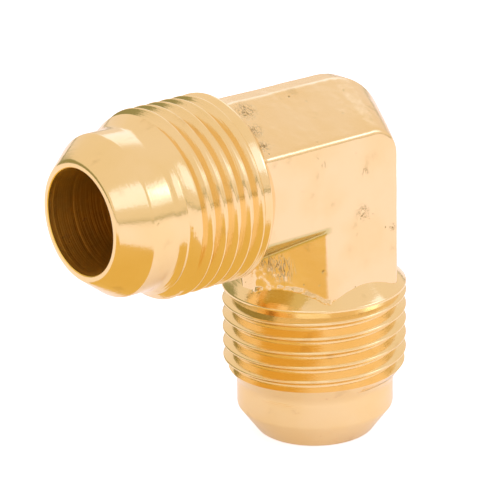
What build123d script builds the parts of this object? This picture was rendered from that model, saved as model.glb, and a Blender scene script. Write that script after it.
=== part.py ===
"""Flare union elbow for 5/8 in tube: one hot-forged brass body with two turned and threaded ends.

The side end points along -X and the lower end along -Z. The origin is where their axes cross.
Millimetres, +Z up.
"""

import os
from math import radians, tan

from build123d import *

# ---- Driving dimensions ----

# 7/8-14 UNF external thread, right-hand
THREAD_D = 22.225
THREAD_PITCH = 25.4 / 14
THREAD_DEPTH = 0.6134 * THREAD_PITCH
ROOT_FLAT = THREAD_PITCH / 6
FLANK_ANGLE = 30

# Stations along an end's axis, measured from where the two axes cross
RIM = 15.1
CHAMFER_START = 24.9
NOSE_START = 27.2
END_FACE = 34.0

# Turned nose, 37 degree flare seat, and the drilled waterway
NOSE_D = 19.0
LIP_D = 14.0
SEAT_ANGLE = 37
SEAT_BLEND = 0.6
BORE_D = 12.5
BORE_PAST_CENTRE = 1.5
DRILL_POINT_HALF_ANGLE = 59

# Forging: a hexagonal section with its two parting-line corners trimmed to lands
ACROSS_FLATS = 18.4
LAND_DISTANCE = 9.93
EDGE_RADIUS = 0.6
BEND_CENTRE = 1.6
SINK_IN_SHOULDER = 0.1

# Thread cutting: the groove runs out through the shoulder at one end and the chamfer at the other
GROOVE_START = 14.2
GROOVE_TURNS = 7.4
CUTTER_CLEAR = 0.12
TURNING_CLEAR = 1.0

# ---- Worked-out sizes ----

THREAD_R = THREAD_D / 2
ROOT_R = THREAD_R - THREAD_DEPTH
NOSE_R = NOSE_D / 2
LIP_R = LIP_D / 2
BORE_R = BORE_D / 2
HALF_FLATS = ACROSS_FLATS / 2
SEAT_START = END_FACE - (NOSE_R - LIP_R) / tan(radians(SEAT_ANGLE))
DRILL_POINT = BORE_R / tan(radians(DRILL_POINT_HALF_ANGLE))

# The thread cutter is a 60 degree trapezoid that reaches a little past the crests
CUTTER_DEPTH = THREAD_DEPTH + CUTTER_CLEAR
CUTTER_HALF_TIP = ROOT_FLAT / 2
CUTTER_HALF_BACK = CUTTER_HALF_TIP + CUTTER_DEPTH * tan(radians(FLANK_ANGLE))
CUTTER_OUTLINE = [
    (ROOT_R, GROOVE_START - CUTTER_HALF_TIP),
    (ROOT_R + CUTTER_DEPTH, GROOVE_START - CUTTER_HALF_BACK),
    (ROOT_R + CUTTER_DEPTH, GROOVE_START + CUTTER_HALF_BACK),
    (ROOT_R, GROOVE_START + CUTTER_HALF_TIP),
]

# The shoulder's cone rises at 45 degrees to the rim, from a foot sunk inside the hexagon
SHOULDER_SINK = 2.0
SHOULDER_FOOT_R = HALF_FLATS - SHOULDER_SINK
SHOULDER_FOOT = RIM - (THREAD_R - SHOULDER_FOOT_R)

# Each end's plane has its origin where the axes cross, and its normal points out of that end.
# Its local x axis points away from the elbow's crotch, towards the heel.
SIDE_END = Plane(origin=(0, 0, 0), x_dir=(0, 0, 1), z_dir=(-1, 0, 0))
LOWER_END = Plane(origin=(0, 0, 0), x_dir=(1, 0, 0), z_dir=(0, 0, -1))
ENDS = [SIDE_END, LOWER_END]

# Lengthwise section of an end that points along +Z: local x is the radius, local y the station
LENGTHWISE = Plane(origin=(0, 0, 0), x_dir=(1, 0, 0), z_dir=(0, -1, 0))


def on_a_flat(edge):
    """Whether an edge borders the front or the back flat and isn't at an arm's sawn end."""
    middle = edge.center()
    borders_flat = abs(abs(middle.Y) - HALF_FLATS) < SINK_IN_SHOULDER
    return borders_flat and min(middle.X, middle.Z) > -RIM + 2 * SINK_IN_SHOULDER


with BuildPart() as forging:
    # Arms: one hexagonal prism each, meeting in a sharp mitre at the crotch
    for end in ENDS:
        with BuildSketch(end.offset(-BEND_CENTRE)):
            RegularPolygon(radius=HALF_FLATS, side_count=6, major_radius=False)
            Rectangle(2 * LAND_DISTANCE, 2 * ACROSS_FLATS, mode=Mode.INTERSECT)
        extrude(amount=BEND_CENTRE + RIM - SINK_IN_SHOULDER)

    # Heel: the outer part of the same section, swung a quarter turn round the bend's centre
    with BuildSketch(SIDE_END.offset(-BEND_CENTRE)):
        RegularPolygon(radius=HALF_FLATS, side_count=6, major_radius=False)
        Rectangle(2 * LAND_DISTANCE, 2 * ACROSS_FLATS, mode=Mode.INTERSECT)
        with Locations((BEND_CENTRE + ACROSS_FLATS / 2, 0)):
            Rectangle(ACROSS_FLATS, 2 * ACROSS_FLATS, mode=Mode.INTERSECT)
    revolve(axis=Axis((BEND_CENTRE, 0, BEND_CENTRE), (0, 1, 0)), revolution_arc=90)

    # Die radii along the borders of the front and back flats
    fillet(forging.edges().filter_by(on_a_flat), radius=EDGE_RADIUS)

with BuildPart() as threaded_end:
    # Turned blank, made along +Z: a 45 degree shoulder, then a plain cylinder
    with BuildSketch(LENGTHWISE):
        with BuildLine():
            Polyline(
                (0, SHOULDER_FOOT),
                (SHOULDER_FOOT_R, SHOULDER_FOOT),
                (THREAD_R, RIM),
                (THREAD_R, END_FACE),
                (0, END_FACE),
                close=True,
            )
        make_face()
    revolve(axis=Axis.Z)

    # Thread: one 60 degree groove, wound outwards from the shoulder
    with BuildLine(Plane.XY.offset(GROOVE_START)) as winding:
        Helix(pitch=THREAD_PITCH, height=GROOVE_TURNS * THREAD_PITCH, radius=ROOT_R)
    with BuildSketch(LENGTHWISE):
        with BuildLine():
            Polyline(*CUTTER_OUTLINE, close=True)
        make_face()
    sweep(path=winding.line, is_frenet=True, mode=Mode.SUBTRACT)

    # Nose: everything outside the lead chamfer, nose and flare seat is turned away
    with BuildSketch(LENGTHWISE) as turnings:
        with BuildLine():
            Polyline(
                (THREAD_R, CHAMFER_START),
                (NOSE_R, NOSE_START),
                (NOSE_R, SEAT_START),
                (LIP_R, END_FACE),
                (LIP_R, END_FACE + TURNING_CLEAR),
                (THREAD_R + TURNING_CLEAR, END_FACE + TURNING_CLEAR),
                (THREAD_R + TURNING_CLEAR, CHAMFER_START),
                close=True,
            )
        make_face()
        seat_corner = turnings.vertices().sort_by_distance((NOSE_R, SEAT_START, 0))[0]
        fillet(seat_corner, radius=SEAT_BLEND)
    revolve(axis=Axis.Z, mode=Mode.SUBTRACT)

with BuildPart() as elbow_body:
    # The hexagonal arms run into the two shoulders, which cut arches into the flats
    add(forging.part)
    with Locations(*ENDS):
        add(threaded_end.part)

    # Waterway: drilled from each end to just past the crossing, which leaves the drill's point
    with BuildSketch(LENGTHWISE, mode=Mode.PRIVATE) as drill:
        with BuildLine():
            Polyline(
                (0, -BORE_PAST_CENTRE - DRILL_POINT),
                (BORE_R, -BORE_PAST_CENTRE),
                (BORE_R, END_FACE),
                (0, END_FACE),
                close=True,
            )
        make_face()
    for end in ENDS:
        revolve(end.location * drill.sketch, axis=Axis((0, 0, 0), end.z_dir), mode=Mode.SUBTRACT)

elbow_body.part.label = "elbow_body"
os.makedirs("parts", exist_ok=True)
export_step(elbow_body.part, "parts/elbow_body.step")
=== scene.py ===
from math import cos, pi, radians, sin, tan

import bpy
from mathutils import Matrix, Vector


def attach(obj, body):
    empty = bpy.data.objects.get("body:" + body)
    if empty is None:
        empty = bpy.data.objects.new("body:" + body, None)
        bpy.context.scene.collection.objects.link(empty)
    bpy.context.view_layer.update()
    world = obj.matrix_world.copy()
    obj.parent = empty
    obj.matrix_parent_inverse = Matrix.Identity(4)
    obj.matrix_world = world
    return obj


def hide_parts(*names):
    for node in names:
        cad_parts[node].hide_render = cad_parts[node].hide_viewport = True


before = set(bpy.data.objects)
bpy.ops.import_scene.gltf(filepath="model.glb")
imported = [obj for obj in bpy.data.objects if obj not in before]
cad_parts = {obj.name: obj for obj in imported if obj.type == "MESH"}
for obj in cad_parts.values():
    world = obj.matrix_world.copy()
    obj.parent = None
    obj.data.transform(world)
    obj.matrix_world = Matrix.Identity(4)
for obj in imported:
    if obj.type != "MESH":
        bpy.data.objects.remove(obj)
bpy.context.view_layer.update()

# ---- Studio ----
# The fitting stands on a pale tabletop in a bright studio: white walls over a dark gap at
# the table's edge, soft boxes to the left, right and back, a dim light above, and a glowing
# golden card on the table that paints a reflection of shade. Polished brass takes most of its
# look from reflecting them.

MM = 0.001

# Directions of the camera's picture: across it, up it and into the scene
VIEW_RIGHT = Vector((0.7795, -0.6263, -0.0166))
VIEW_UP = Vector((0.2245, 0.2545, 0.9407))
VIEW_FORWARD = Vector((0.5849, 0.7369, -0.3389))

camera_data = bpy.data.cameras.new("camera")
camera_data.sensor_width = 36.0
camera_data.sensor_fit = "HORIZONTAL"
camera_data.lens = 218.1
camera_data.clip_start = 0.01
camera_data.clip_end = 20.0
camera = bpy.data.objects.new("camera", camera_data)
bpy.context.scene.collection.objects.link(camera)
camera_spot = (-7.417 * VIEW_RIGHT - 10.713 * VIEW_UP - 359.15 * VIEW_FORWARD) * MM
camera_turn = Matrix((VIEW_RIGHT, VIEW_UP, -VIEW_FORWARD)).transposed()
camera.matrix_world = Matrix.Translation(camera_spot) @ camera_turn.to_4x4()
bpy.context.scene.camera = camera

bpy.context.scene.view_settings.view_transform = "Standard"


def arithmetic(nodes, wire):
    """Return a function that adds a math node to these nodes and gives its output."""

    def maths(operation, a, b=0.0):
        node = nodes.new("ShaderNodeMath")
        node.operation = operation
        for socket, value in zip(node.inputs, (a, b)):
            if isinstance(value, float):
                socket.default_value = value
            else:
                wire(value, socket)
        return node.outputs["Value"]

    return maths


def easing(nodes, wire):
    """Return a function that adds a smooth ramp to these nodes and gives its output."""

    def ease(value, low, high, start=0.0, end=1.0):
        ramp = nodes.new("ShaderNodeMapRange")
        ramp.interpolation_type = "SMOOTHSTEP"
        wire(value, ramp.inputs["Value"])
        settings = {"From Min": low, "From Max": high, "To Min": start, "To Max": end}
        for socket, setting in settings.items():
            if isinstance(setting, float):
                ramp.inputs[socket].default_value = setting
            else:
                wire(setting, ramp.inputs[socket])
        return ramp.outputs["Result"]

    return ease


# Surroundings: white walls over a dark gap at the table's edge, which is taller behind and to
# the left
world = bpy.data.worlds.new("studio")
world.use_nodes = True
walls, hang = world.node_tree.nodes, world.node_tree.links.new
outlook = walls.new("ShaderNodeTexCoord")
height = walls.new("ShaderNodeSeparateXYZ")
hang(outlook.outputs["Generated"], height.inputs["Vector"])
behind = walls.new("ShaderNodeVectorMath")
behind.operation = "DOT_PRODUCT"
behind.inputs[1].default_value = (-0.62, 0.78, 0)
hang(outlook.outputs["Generated"], behind.inputs[0])
wall_maths, wall_ease = arithmetic(walls, hang), easing(walls, hang)
gap_top = wall_ease(behind.outputs["Value"], 0.60, 0.85, 0.03, 0.42)
over_gap = wall_maths("SUBTRACT", height.outputs["Z"], gap_top)
paint = walls.new("ShaderNodeMix")
paint.data_type = "RGBA"
paint.inputs["A"].default_value = (0.34, 0.32, 0.17, 1)
paint.inputs["B"].default_value = (0.93, 0.79, 0.69, 1)
hang(wall_ease(over_gap, -0.03, 0.03), paint.inputs["Factor"])
hang(paint.outputs["Result"], walls["Background"].inputs["Color"])
bpy.context.scene.world = world


def soft_box(name, spot, size, glow, colour):
    """A rectangular light at spot, facing the fitting, as bright as glow over its whole face."""
    lamp = bpy.data.lights.new(name, "AREA")
    lamp.shape = "RECTANGLE"
    lamp.size, lamp.size_y = size
    lamp.energy = glow * pi * size[0] * size[1]
    lamp.color = colour
    box = bpy.data.objects.new(name, lamp)
    bpy.context.scene.collection.objects.link(box)
    box.location = spot
    box.rotation_euler = (-Vector(spot)).to_track_quat("-Z", "Y").to_euler()
    return box


soft_box("left_box", (-0.43, -0.43, 0.35), (0.50, 0.30), 0.85, (0.30, 0.50, 0.95))
soft_box("right_box", (0.42, -0.45, 0.33), (0.50, 0.30), 0.85, (0.30, 0.50, 0.95))
soft_box("right_core", (0.40, -0.43, 0.315), (0.20, 0.13), 1.5, (0.80, 0.90, 1.0))
soft_box("back_box", (0.42, 0.39, 0.43), (0.55, 0.36), 0.80, (0.30, 0.50, 0.95))
table_light = soft_box("table_light", (0, 0, 1.0), (1.0, 1.0), 0.35, (1.0, 0.95, 1.0))
table_light.visible_glossy = False

# Floor: a pale matt tabletop, washed out to white where the camera looks straight at it
bpy.ops.object.select_all(action="DESELECT")
bpy.ops.mesh.primitive_plane_add(size=4.0, location=(0, 0, -34.0 * MM))
floor = bpy.context.object
floor.name = "floor"
floor_finish = bpy.data.materials.new("pale_floor")
floor_finish.use_nodes = True
floor_nodes, floor_link = floor_finish.node_tree.nodes, floor_finish.node_tree.links.new
floor_shader = floor_nodes["Principled BSDF"]
floor_shader.inputs["Base Color"].default_value = (0.88, 0.84, 0.90, 1)
floor_shader.inputs["Roughness"].default_value = 0.9
floor_shader.inputs["Emission Color"].default_value = (1.0, 0.95, 1.0, 1)
sight = floor_nodes.new("ShaderNodeLightPath")
washed = floor_nodes.new("ShaderNodeMath")
washed.operation = "MULTIPLY_ADD"
washed.inputs[1].default_value = 0.48
washed.inputs[2].default_value = 0.20
floor_link(sight.outputs["Is Camera Ray"], washed.inputs[0])
floor_link(washed.outputs["Value"], floor_shader.inputs["Emission Strength"])
floor.data.materials.append(floor_finish)

# Painted reflection of shade: a glowing golden card on the table under the side end, seen only in
# polished brass
# The card stands in for the shaded, brass-lit floor under the side end as the brass reflects it
bpy.ops.object.select_all(action="DESELECT")
bpy.ops.mesh.primitive_plane_add(size=1.0, location=(-0.085, -0.0125, -33.5 * MM))
painted_reflection_card = bpy.context.object
painted_reflection_card.name = "painted_reflection_card"
painted_reflection_card.scale = (0.12, 0.075, 1)
card_finish = bpy.data.materials.new("painted_reflection_card")
card_finish.use_nodes = True
card_shader = card_finish.node_tree.nodes["Principled BSDF"]
card_shader.inputs["Base Color"].default_value = (0, 0, 0, 1)
card_shader.inputs["Emission Color"].default_value = (0.80, 0.52, 0.14, 1)
card_shader.inputs["Emission Strength"].default_value = 1.0
painted_reflection_card.data.materials.append(card_finish)
painted_reflection_card.visible_camera = False
painted_reflection_card.visible_diffuse = False
painted_reflection_card.visible_shadow = False

# ---- Forged blank ----
# The middle of the elbow is hot-forged brass: two stubby hexagonal arms that meet in a
# sharp inner corner and run round a soft heel. The die's parting line is trimmed to
# narrow lands, and the skin keeps small dents and hammer-soft edges.

HALF_FLATS = 9.2 * MM
LAND = 9.93 * MM
BEND = 1.6 * MM
ARM_END = 14.6 * MM
DIE_RADIUS = 0.8 * MM
FORGED_VOXEL = 0.22 * MM


def only(obj):
    """Make obj the one selected and active object."""
    bpy.ops.object.select_all(action="DESELECT")
    obj.select_set(True)
    bpy.context.view_layer.objects.active = obj


def edit(obj, mode):
    """Open obj in edit mode with every face, edge or vertex deselected."""
    only(obj)
    bpy.ops.object.mode_set(mode="EDIT")
    bpy.ops.mesh.select_mode(type=mode)
    bpy.ops.mesh.select_all(action="DESELECT")
    bpy.ops.object.mode_set(mode="OBJECT")


def close_up(obj):
    """Merge doubles and turn every face outwards."""
    only(obj)
    bpy.ops.object.mode_set(mode="EDIT")
    bpy.ops.mesh.select_all(action="SELECT")
    bpy.ops.mesh.remove_doubles(threshold=0.002 * MM)
    bpy.ops.mesh.normals_make_consistent(inside=False)
    bpy.ops.object.mode_set(mode="OBJECT")


def slice_off(obj, point, normal, fill=True):
    """Cut obj with a plane and throw away the side that the normal points to."""
    only(obj)
    bpy.ops.object.mode_set(mode="EDIT")
    bpy.ops.mesh.select_all(action="SELECT")
    bpy.ops.mesh.bisect(
        plane_co=point,
        plane_no=normal,
        use_fill=fill,
        clear_outer=True,
        threshold=1e-7,
    )
    bpy.ops.object.mode_set(mode="OBJECT")


def combine(obj, tool, operation):
    """Boolean obj with tool, and remove the tool."""
    only(obj)
    join = obj.modifiers.new("combine", "BOOLEAN")
    join.object = tool
    join.operation = operation
    join.solver = "MANIFOLD"
    join.material_mode = "TRANSFER"
    bpy.ops.object.modifier_apply(modifier="combine")
    bpy.data.objects.remove(tool)


def settle(obj):
    """Bake an object's place and turn into its mesh."""
    only(obj)
    bpy.ops.object.transform_apply(location=True, rotation=True, scale=True)


# Lower arm: a hexagonal bar with flats to the front and back and its side corners trimmed
bpy.ops.object.select_all(action="DESELECT")
bpy.ops.mesh.primitive_cylinder_add(
    vertices=6,
    radius=HALF_FLATS / cos(pi / 6),
    depth=BEND + ARM_END,
    location=(0, 0, (BEND - ARM_END) / 2),
    rotation=(0, 0, pi / 2),
)
forging = bpy.context.object
forging.name = "elbow"
settle(forging)
slice_off(forging, (LAND, 0, 0), (1, 0, 0))
slice_off(forging, (-LAND, 0, 0), (-1, 0, 0))

# Side arm: the same bar turned to point along -X
side_arm = forging.copy()
side_arm.data = forging.data.copy()
bpy.context.scene.collection.objects.link(side_arm)
side_arm.rotation_euler = (0, pi / 2, 0)
settle(side_arm)

# Heel: the outer part of the section, swung a quarter turn round the bend's centre
bpy.ops.object.select_all(action="DESELECT")
bpy.ops.mesh.primitive_circle_add(
    vertices=6,
    radius=HALF_FLATS / cos(pi / 6),
    fill_type="NGON",
    location=(0, 0, BEND),
    rotation=(0, 0, pi / 2),
)
heel = bpy.context.object
settle(heel)
slice_off(heel, (LAND, 0, 0), (1, 0, 0), fill=False)
slice_off(heel, (BEND, 0, 0), (-1, 0, 0), fill=False)
only(heel)
bpy.ops.object.mode_set(mode="EDIT")
bpy.ops.mesh.select_all(action="SELECT")
bpy.ops.mesh.spin(steps=20, angle=pi / 2, center=(BEND, 0, BEND), axis=(0, 1, 0))
bpy.ops.object.mode_set(mode="OBJECT")
close_up(heel)

combine(forging, side_arm, "UNION")
combine(forging, heel, "UNION")
close_up(forging)

# Die radii: a soft round along the borders of the two flats
only(forging)
bpy.ops.object.mode_set(mode="EDIT")
bpy.ops.mesh.select_all(action="SELECT")
bpy.ops.mesh.dissolve_limited(angle_limit=radians(0.5))
bpy.ops.object.mode_set(mode="OBJECT")


def round_edges(obj, chosen, width, segments):
    """Bevel the edges whose two end points are both accepted by chosen."""
    edit(obj, "EDGE")
    points = obj.data.vertices
    for edge in obj.data.edges:
        edge.select = all(chosen(points[i].co) for i in edge.vertices)
    bpy.ops.object.mode_set(mode="EDIT")
    bpy.ops.mesh.bevel(offset=width, segments=segments, affect="EDGES")
    bpy.ops.object.mode_set(mode="OBJECT")


def on_flat(p):
    """True for a point on the front or the back flat."""
    return abs(abs(p.y) - HALF_FLATS) < 0.01 * MM


round_edges(forging, on_flat, DIE_RADIUS * tan(radians(30)), 4)

# Forged skin: even small faces, then a faint all-over unevenness from the hot dies
evened = forging.modifiers.new("even_skin", "REMESH")
evened.mode = "VOXEL"
evened.voxel_size = FORGED_VOXEL
only(forging)
bpy.ops.object.modifier_apply(modifier="even_skin")
for reach, size in ((0.10 * MM, 5.0 * MM), (0.03 * MM, 1.1 * MM)):
    lumps = bpy.data.textures.new("die_lumps", "CLOUDS")
    lumps.noise_scale = size
    lumps.noise_depth = 1
    uneven = forging.modifiers.new("uneven", "DISPLACE")
    uneven.texture = lumps
    uneven.texture_coords = "LOCAL"
    uneven.strength = reach
    uneven.mid_level = 0.5
    bpy.ops.object.modifier_apply(modifier="uneven")

# Trimming tore the outer half of the lower arm's front left facet and left a burr along its
# foot, where the shoulder's 45 degree cone starts. All of these are in mm.
FACET_REACH = 0.4
TORN_TOP = -6
TORN_START, TORN_FADE = -7.3, 0.9
TORN_LEVEL, TORN_DEEPENS = -9.0, 1.5
CONE_TIP = -3.99
BURR_WIDTH = 0.5

torn = forging.vertex_groups.new(name="torn")
burr = forging.vertex_groups.new(name="burr")
for point in forging.data.vertices:
    x, y, z = point.co / MM
    off_facet = -x * cos(pi / 6) - y * sin(pi / 6) - HALF_FLATS / MM
    if abs(off_facet) < FACET_REACH and z < TORN_TOP:
        outward = min(1, max(0, (TORN_START - x) / TORN_FADE))
        downward = min(1, max(0, (TORN_LEVEL - z) / TORN_DEEPENS))
        off_foot = abs((x * x + y * y) ** 0.5 - CONE_TIP + z)
        torn.add([point.index], outward * downward, "REPLACE")
        burr.add([point.index], max(0, 1 - off_foot / BURR_WIDTH), "REPLACE")
for area, reach, size, level in (
    ("torn", 0.30 * MM, 0.8 * MM, 0.6),
    ("burr", 0.45 * MM, 0.45 * MM, 0.15),
):
    rag = bpy.data.textures.new(area, "CLOUDS")
    rag.noise_scale = size
    rag.noise_depth = 2
    ragged = forging.modifiers.new("ragged", "DISPLACE")
    ragged.texture = rag
    ragged.texture_coords = "LOCAL"
    ragged.vertex_group = area
    ragged.strength = reach
    ragged.mid_level = level
    bpy.ops.object.modifier_apply(modifier="ragged")
forging.vertex_groups.clear()


def stain_group():
    """Faint patches and sparse specks: a colour for the metal and a height for its skin."""
    group = bpy.data.node_groups.new("metal_skin", "ShaderNodeTree")
    face = group.interface
    face.new_socket("Clean", in_out="INPUT", socket_type="NodeSocketColor")
    face.new_socket("Deep", in_out="INPUT", socket_type="NodeSocketColor")
    face.new_socket("Stain", in_out="INPUT", socket_type="NodeSocketColor")
    face.new_socket("Stain Amount", in_out="INPUT", socket_type="NodeSocketFloat")
    face.new_socket("Pit Amount", in_out="INPUT", socket_type="NodeSocketFloat")
    face.new_socket("Colour", in_out="OUTPUT", socket_type="NodeSocketColor")
    face.new_socket("Height", in_out="OUTPUT", socket_type="NodeSocketFloat")
    face.new_socket("Dullness", in_out="OUTPUT", socket_type="NodeSocketFloat")
    nodes, wire = group.nodes, group.links.new
    given = nodes.new("NodeGroupInput")
    out = nodes.new("NodeGroupOutput")
    maths, ease = arithmetic(nodes, wire), easing(nodes, wire)
    place = nodes.new("ShaderNodeTexCoord")

    def cloud(scale, detail, low, high):
        noise = nodes.new("ShaderNodeTexNoise")
        noise.inputs["Scale"].default_value = scale
        noise.inputs["Detail"].default_value = detail
        wire(place.outputs["Object"], noise.inputs["Vector"])
        return ease(noise.outputs["Fac"], low, high)

    def blend(factor, a, b):
        mix = nodes.new("ShaderNodeMix")
        mix.data_type = "RGBA"
        wire(factor, mix.inputs["Factor"])
        wire(a, mix.inputs["A"])
        wire(b, mix.inputs["B"])
        return mix.outputs["Result"]

    patches = cloud(160.0, 3.0, 0.35, 0.65)
    stains = maths("MULTIPLY", cloud(330.0, 5.0, 0.62, 0.74), given.outputs["Stain Amount"])
    pits = maths("MULTIPLY", cloud(1100.0, 2.0, 0.72, 0.78), given.outputs["Pit Amount"])
    grain = cloud(2600.0, 4.0, 0.2, 0.8)
    tone = blend(patches, given.outputs["Clean"], given.outputs["Deep"])
    tone = blend(stains, tone, given.outputs["Stain"])
    tone = blend(pits, tone, given.outputs["Stain"])
    wire(tone, out.inputs["Colour"])
    wire(maths("SUBTRACT", maths("MULTIPLY", grain, 0.12), pits), out.inputs["Height"])
    wire(maths("ADD", maths("MULTIPLY", patches, 0.5), stains), out.inputs["Dullness"])
    return group


metal_skin = stain_group()


def brass_finish(name, clean, deep, stain, stains, pits, shine):
    """A brass whose colour and skin come from the shared group; returns its nodes too."""
    finish = bpy.data.materials.new(name)
    finish.use_nodes = True
    nodes, wire = finish.node_tree.nodes, finish.node_tree.links.new
    shader = nodes["Principled BSDF"]
    shader.inputs["Metallic"].default_value = 1.0
    skin = nodes.new("ShaderNodeGroup")
    skin.node_tree = metal_skin
    skin.inputs["Clean"].default_value = clean
    skin.inputs["Deep"].default_value = deep
    skin.inputs["Stain"].default_value = stain
    skin.inputs["Stain Amount"].default_value = stains
    skin.inputs["Pit Amount"].default_value = pits
    wire(skin.outputs["Colour"], shader.inputs["Base Color"])
    dull = nodes.new("ShaderNodeMapRange")
    dull.inputs["To Min"].default_value = shine[0]
    dull.inputs["To Max"].default_value = shine[1]
    wire(skin.outputs["Dullness"], dull.inputs["Value"])
    wire(dull.outputs["Result"], shader.inputs["Roughness"])
    bump = nodes.new("ShaderNodeBump")
    bump.inputs["Distance"].default_value = 0.05 * MM
    bump.inputs["Strength"].default_value = 0.6
    wire(skin.outputs["Height"], bump.inputs["Height"])
    wire(bump.outputs["Normal"], shader.inputs["Normal"])
    return finish, skin, bump


def scuff_group():
    """Ragged marks inside a round spot: a mask from 0 to 1."""
    group = bpy.data.node_groups.new("scuff", "ShaderNodeTree")
    face = group.interface
    face.new_socket("Centre", in_out="INPUT", socket_type="NodeSocketVector")
    face.new_socket("Reach", in_out="INPUT", socket_type="NodeSocketFloat")
    face.new_socket("Stretch", in_out="INPUT", socket_type="NodeSocketVector")
    face.new_socket("Mask", in_out="OUTPUT", socket_type="NodeSocketFloat")
    nodes, wire = group.nodes, group.links.new
    given = nodes.new("NodeGroupInput")
    out = nodes.new("NodeGroupOutput")
    maths, ease = arithmetic(nodes, wire), easing(nodes, wire)
    place = nodes.new("ShaderNodeTexCoord")
    away = nodes.new("ShaderNodeVectorMath")
    away.operation = "DISTANCE"
    wire(place.outputs["Object"], away.inputs[0])
    wire(given.outputs["Centre"], away.inputs[1])
    spot = ease(away.outputs["Value"], 0.0, given.outputs["Reach"], 1.0, 0.0)
    noise = nodes.new("ShaderNodeTexNoise")
    noise.inputs["Scale"].default_value = 1500.0
    noise.inputs["Detail"].default_value = 3.0
    noise.inputs["Distortion"].default_value = 1.2
    drawn = nodes.new("ShaderNodeVectorMath")
    drawn.operation = "MULTIPLY"
    wire(place.outputs["Object"], drawn.inputs[0])
    wire(given.outputs["Stretch"], drawn.inputs[1])
    wire(drawn.outputs["Vector"], noise.inputs["Vector"])
    line = maths("ABSOLUTE", maths("SUBTRACT", noise.outputs["Fac"], 0.5))
    thin = ease(line, 0.012, 0.05, 1.0, 0.0)
    wire(maths("MULTIPLY", thin, spot), out.inputs["Mask"])
    return group


forged_brass, forged_skin, forged_bump = brass_finish(
    "forged_brass",
    (0.95, 0.75, 0.44, 1),
    (0.93, 0.71, 0.38, 1),
    (0.42, 0.30, 0.10, 1),
    0.22,
    0.8,
    (0.17, 0.28),
)

# Marks, each with its centre and reach in mm and how it is stretched: three by the side
# shoulder, four on the front and two on the torn facet
scuff = scuff_group()
forged_nodes, forged_wire = forged_brass.node_tree.nodes, forged_brass.node_tree.links.new
forged_maths = arithmetic(forged_nodes, forged_wire)
forged_ease = easing(forged_nodes, forged_wire)
marked = None
for x, y, z, reach, stretch in (
    (-12.0, -2.6, 9.1, 1.9, (1.6, 1.0, 1.0)),
    (-12.9, -5.2, 7.6, 1.5, (1.6, 1.0, 1.0)),
    (-13.4, -7.5, 6.3, 1.2, (1.6, 1.0, 1.0)),
    (-0.1, -9.2, -4.3, 1.5, (1.3, 1.0, 1.3)),
    (0.3, -9.2, 0.7, 0.8, (1.5, 1.0, 0.6)),
    (-5.9, -9.2, 2.9, 0.6, (1.0, 1.0, 1.0)),
    (4.5, -9.2, -7.1, 0.7, (1.0, 1.0, 1.0)),
    (-8.3, -4.0, -10.6, 2.4, (1.8, 1.8, 0.3)),
    (-9.2, -2.5, -10.0, 1.8, (1.8, 1.8, 0.3)),
):
    spot = forged_nodes.new("ShaderNodeGroup")
    spot.node_tree = scuff
    spot.inputs["Centre"].default_value = (x * MM, y * MM, z * MM)
    spot.inputs["Reach"].default_value = reach * MM
    spot.inputs["Stretch"].default_value = stretch
    mask = spot.outputs["Mask"]
    marked = mask if marked is None else forged_maths("MAXIMUM", marked, mask)
scuffed = forged_nodes.new("ShaderNodeMix")
scuffed.data_type = "RGBA"
scuffed.inputs["B"].default_value = (0.34, 0.24, 0.08, 1)
forged_wire(marked, scuffed.inputs["Factor"])
forged_wire(forged_skin.outputs["Colour"], scuffed.inputs["A"])

# Painted shade: the facet under the side arm is painted a darker olive, as far as the inner
# corner. FACET_SKIN is how far off its plane the painted shade fades, and CORNER_FADE where along
# the arm it ends.
UNDERSIDE_SHADE_COLOUR = (0.62, 0.56, 0.24, 1)
UNDERSIDE_SHADE_AMOUNT = 0.8
FACET_SKIN = (0.15 * MM, 0.55 * MM)
CORNER_FADE = (-5.6 * MM, -4.4 * MM)

here = forged_nodes.new("ShaderNodeTexCoord")
under = forged_nodes.new("ShaderNodeVectorMath")
under.operation = "DOT_PRODUCT"
under.inputs[1].default_value = (0, -sin(pi / 6), -cos(pi / 6))
forged_wire(here.outputs["Object"], under.inputs[0])
sides = forged_nodes.new("ShaderNodeSeparateXYZ")
forged_wire(here.outputs["Object"], sides.inputs["Vector"])
off_facet = forged_maths("SUBTRACT", under.outputs["Value"], HALF_FLATS)
on_facet = forged_ease(forged_maths("ABSOLUTE", off_facet), *FACET_SKIN, UNDERSIDE_SHADE_AMOUNT, 0.0)
out_along = forged_ease(sides.outputs["X"], *CORNER_FADE, 1.0, 0.0)
# Mix the painted shade into the colour of the facet under the side arm
underside_shaded = forged_nodes.new("ShaderNodeMix")
underside_shaded.data_type = "RGBA"
underside_shaded.inputs["B"].default_value = UNDERSIDE_SHADE_COLOUR
forged_wire(forged_maths("MULTIPLY", on_facet, out_along), underside_shaded.inputs["Factor"])
forged_wire(scuffed.outputs["Result"], underside_shaded.inputs["A"])
forged_wire(underside_shaded.outputs["Result"], forged_nodes["Principled BSDF"].inputs["Base Color"])
gouged = forged_maths("SUBTRACT", forged_skin.outputs["Height"], marked)
forged_wire(gouged, forged_bump.inputs["Height"])
forging.data.materials.clear()
forging.data.materials.append(forged_brass)

# ---- Turned and threaded ends ----
# Each end is turned from the forging: a 45 degree shoulder, a 7/8-14 UNF thread with
# worn-round crests, a plain nose and a 37 degree flare seat. Both ends are alike.

THREAD_R = 11.11 * MM
THREAD_PITCH = 25.4 / 14 * MM
ROOT_R = 10.0 * MM
ROOT_HALF = THREAD_PITCH / 12
CREST_POINT_R = ROOT_R + (THREAD_PITCH / 2 - ROOT_HALF) * 3 ** 0.5
FIRST_GROOVE = 10.17 * MM
SHOULDER_BASE = 12.4 * MM
RIM = 15.1 * MM
RUNOUT = 16.8 * MM
CHAMFER = 24.9 * MM
NOSE = 27.2 * MM
NOSE_R = 9.5 * MM
SEAT = 30.68 * MM
FACE = 34.0 * MM
LIP_R = 7.0 * MM


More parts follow.
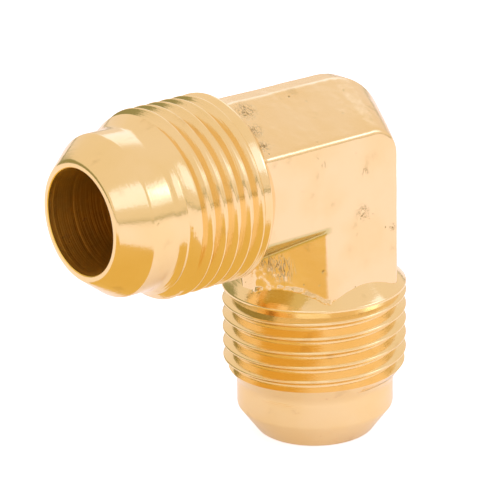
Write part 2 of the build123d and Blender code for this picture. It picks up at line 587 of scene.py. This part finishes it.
def trace(name, points):
    """Draw an open outline in the XZ plane by pulling one vertex from point to point."""
    bpy.ops.object.select_all(action="DESELECT")
    first = Vector((points[0][0], 0, points[0][1]))
    bpy.ops.mesh.primitive_plane_add(size=MM, location=first)
    outline = bpy.context.object
    outline.name = name
    settle(outline)
    bpy.ops.object.mode_set(mode="EDIT")
    bpy.ops.mesh.select_mode(type="VERT")
    bpy.ops.mesh.select_all(action="SELECT")
    bpy.ops.mesh.merge(type="CENTER")
    for (r0, z0), (r1, z1) in zip(points, points[1:]):
        step = {"value": (r1 - r0, 0, z1 - z0)}
        bpy.ops.mesh.extrude_region_move(TRANSFORM_OT_translate=step)
    bpy.ops.object.mode_set(mode="OBJECT")
    return outline


def round_corner(outline, corner, length, segments):
    """Round the outline's corner nearest to a point, from length before it to length after."""
    edit(outline, "VERT")
    spot = Vector((corner[0], 0, corner[1]))
    nearest = min(outline.data.vertices, key=lambda v: (v.co - spot).length)
    nearest.select = True
    bpy.ops.object.mode_set(mode="EDIT")
    bpy.ops.mesh.bevel(offset=length, segments=segments, affect="VERTICES")
    bpy.ops.object.mode_set(mode="OBJECT")


def lathe(outline, steps):
    """Swing an outline a full turn round Z and close the solid."""
    only(outline)
    bpy.ops.object.mode_set(mode="EDIT")
    bpy.ops.mesh.select_all(action="SELECT")
    bpy.ops.mesh.spin(steps=steps, angle=2 * pi, center=(0, 0, 0), axis=(0, 0, 1))
    bpy.ops.object.mode_set(mode="OBJECT")
    close_up(outline)


# Thread: one groove and ridge is drawn, repeated along the axis, and wound one turn
thread = trace(
    "thread",
    [
        (ROOT_R, FIRST_GROOVE + ROOT_HALF),
        (CREST_POINT_R, FIRST_GROOVE + THREAD_PITCH / 2),
        (ROOT_R, FIRST_GROOVE + THREAD_PITCH - ROOT_HALF),
        (ROOT_R, FIRST_GROOVE + THREAD_PITCH + ROOT_HALF),
    ],
)
round_corner(thread, (CREST_POINT_R, FIRST_GROOVE + THREAD_PITCH / 2), 0.40 * MM, 6)
round_corner(thread, (ROOT_R, FIRST_GROOVE + THREAD_PITCH - ROOT_HALF), 0.06 * MM, 2)
repeat = thread.modifiers.new("pitches", "ARRAY")
repeat.use_relative_offset = False
repeat.use_constant_offset = True
repeat.constant_offset_displace = (0, 0, THREAD_PITCH)
repeat.count = 12
repeat.use_merge_vertices = True
repeat.merge_threshold = 0.002 * MM
bpy.ops.object.modifier_apply(modifier="pitches")
wind = thread.modifiers.new("wind", "SCREW")
wind.angle = 2 * pi
wind.screw_offset = THREAD_PITCH
wind.steps = 144
wind.render_steps = 144
bpy.ops.object.modifier_apply(modifier="wind")
close_up(thread)
slice_off(thread, (0, 0, SHOULDER_BASE), (0, 0, -1))
slice_off(thread, (0, 0, NOSE + MM), (0, 0, 1))
close_up(thread)

# Run-out: the groove shallows as the die backs off in front of the shoulder
runout = trace(
    "runout",
    [
        (0, SHOULDER_BASE + 0.1 * MM),
        (THREAD_R, SHOULDER_BASE + 0.1 * MM),
        (THREAD_R, RIM + 0.25 * MM),
        (ROOT_R - 0.1 * MM, RUNOUT),
        (0, RUNOUT),
    ],
)
lathe(runout, 144)
combine(thread, runout, "UNION")

# Blank: shoulder, body, lead chamfer, nose and seat, which the thread is trimmed to
blank = trace(
    "blank",
    [
        (0, SHOULDER_BASE),
        (THREAD_R - RIM + SHOULDER_BASE, SHOULDER_BASE),
        (THREAD_R - 1.6 * MM, RIM - 1.6 * MM),
        (THREAD_R - 0.8 * MM, RIM - 0.8 * MM),
        (THREAD_R, RIM),
        (THREAD_R, CHAMFER),
        (NOSE_R, NOSE),
        (NOSE_R, SEAT),
        (LIP_R, FACE),
        (0, FACE),
    ],
)
round_corner(blank, (THREAD_R, RIM), 0.10 * MM, 3)
round_corner(blank, (THREAD_R, CHAMFER), 0.12 * MM, 3)
round_corner(blank, (NOSE_R, NOSE), 0.45 * MM, 4)
round_corner(blank, (NOSE_R, SEAT), 0.22 * MM, 4)
round_corner(blank, (LIP_R, FACE), 0.36 * MM, 4)
lathe(blank, 144)

# The blank's nose stays whole, and the thread replaces the blank from the shoulder to the chamfer
core = blank.copy()
core.data = blank.data.copy()
bpy.context.scene.collection.objects.link(core)
slice_off(core, (0, 0, NOSE + 0.5 * MM), (0, 0, -1))
combine(thread, blank, "INTERSECT")
combine(thread, core, "UNION")


def ring_group():
    """Fine tool rings round an end's axis: a height that follows the distance along that axis."""
    group = bpy.data.node_groups.new("tool_rings", "ShaderNodeTree")
    face = group.interface
    face.new_socket("Rings per mm", in_out="INPUT", socket_type="NodeSocketFloat")
    face.new_socket("Height", in_out="OUTPUT", socket_type="NodeSocketFloat")
    nodes, wire = group.nodes, group.links.new
    given = nodes.new("NodeGroupInput")
    out = nodes.new("NodeGroupOutput")
    maths = arithmetic(nodes, wire)
    place = nodes.new("ShaderNodeTexCoord")
    parts = nodes.new("ShaderNodeSeparateXYZ")
    wire(place.outputs["Object"], parts.inputs["Vector"])

    # Out on an end, the lower of x and z runs along its axis, and the higher runs across it
    along = maths("MINIMUM", parts.outputs["X"], parts.outputs["Z"])
    across = maths("MAXIMUM", parts.outputs["X"], parts.outputs["Z"])
    y = parts.outputs["Y"]
    squares = maths("ADD", maths("MULTIPLY", y, y), maths("MULTIPLY", across, across))
    radius = maths("SQRT", squares)
    travel = maths("ADD", along, maths("MULTIPLY", radius, 0.35))
    rings = nodes.new("ShaderNodeTexNoise")
    rings.noise_dimensions = "1D"
    rings.inputs["Scale"].default_value = 1.0
    rings.inputs["Detail"].default_value = 2.0
    spaced = maths("MULTIPLY", maths("MULTIPLY", travel, 1000.0), given.outputs["Rings per mm"])
    wire(spaced, rings.inputs["W"])
    wire(rings.outputs["Fac"], out.inputs["Height"])
    return group


tool_rings = ring_group()


def ringed(name, clean, deep, stain, stains, pits, shine, per_mm, depth):
    """A brass finish with turning rings added to its skin."""
    finish, skin, bump = brass_finish(name, clean, deep, stain, stains, pits, shine)
    nodes, wire = finish.node_tree.nodes, finish.node_tree.links.new
    rings = nodes.new("ShaderNodeGroup")
    rings.node_tree = tool_rings
    rings.inputs["Rings per mm"].default_value = per_mm
    both = nodes.new("ShaderNodeMath")
    both.operation = "MULTIPLY_ADD"
    wire(rings.outputs["Height"], both.inputs[0])
    both.inputs[1].default_value = depth
    wire(skin.outputs["Height"], both.inputs[2])
    wire(both.outputs["Value"], bump.inputs["Height"])
    return finish


turned_brass = ringed(
    "turned_brass",
    (0.95, 0.75, 0.41, 1),
    (0.93, 0.72, 0.36, 1),
    (0.62, 0.40, 0.16, 1),
    0.25,
    0.25,
    (0.12, 0.20),
    5.0,
    0.30,
)
thread.data.materials.clear()
thread.data.materials.append(turned_brass)

# Both ends are set on the forging, each with its thread starting where its own die did
TO_SIDE = Matrix(((0, 0, -1, 0), (0, 1, 0, 0), (1, 0, 0, 0), (0, 0, 0, 1)))
TO_LOWER = Matrix(((1, 0, 0, 0), (0, -1, 0, 0), (0, 0, -1, 0), (0, 0, 0, 1)))
side_end = thread.copy()
side_end.data = thread.data.copy()
bpy.context.scene.collection.objects.link(side_end)
side_end.matrix_world = TO_SIDE @ Matrix.Rotation(radians(-50), 4, "Z")
settle(side_end)
thread.matrix_world = TO_LOWER @ Matrix.Rotation(radians(79), 4, "Z")
settle(thread)
combine(forging, side_end, "UNION")
combine(forging, thread, "UNION")

# ---- Waterway ----
# A 12.5 mm hole is drilled up each end until the two meet under the heel, which leaves
# the drill's cone. Each mouth has its sharp edge broken.

BORE_R = 6.25 * MM
BORE_TIP = -1.5 * MM

drill = trace(
    "drill",
    [
        (0, BORE_TIP - BORE_R / tan(radians(59))),
        (BORE_R, BORE_TIP),
        (BORE_R, FACE - 0.1 * MM),
        (BORE_R + 0.2 * MM, FACE + 0.1 * MM),
        (BORE_R + 0.2 * MM, FACE + 2 * MM),
        (0, FACE + 2 * MM),
    ],
)
lathe(drill, 96)
# Painted light: the bore's brass is a brighter, more orange copy of the brass, standing in for
# light bouncing down the bore; its rings and specks are real
bored_brass_painted_light = ringed(
    "bored_brass_painted_light",
    (1.0, 0.74, 0.19, 1),
    (0.98, 0.66, 0.13, 1),
    (0.45, 0.24, 0.08, 1),
    0.4,
    0.3,
    (0.34, 0.46),
    1.6,
    3.0,
)
drill.data.materials.append(bored_brass_painted_light)
side_drill = drill.copy()
side_drill.data = drill.data.copy()
bpy.context.scene.collection.objects.link(side_drill)
side_drill.matrix_world = TO_SIDE
settle(side_drill)
drill.matrix_world = TO_LOWER
settle(drill)
combine(forging, side_drill, "DIFFERENCE")
combine(forging, drill, "DIFFERENCE")

only(forging)
bpy.ops.object.shade_smooth_by_angle(angle=radians(32))

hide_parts("elbow_body")
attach(forging, "root")
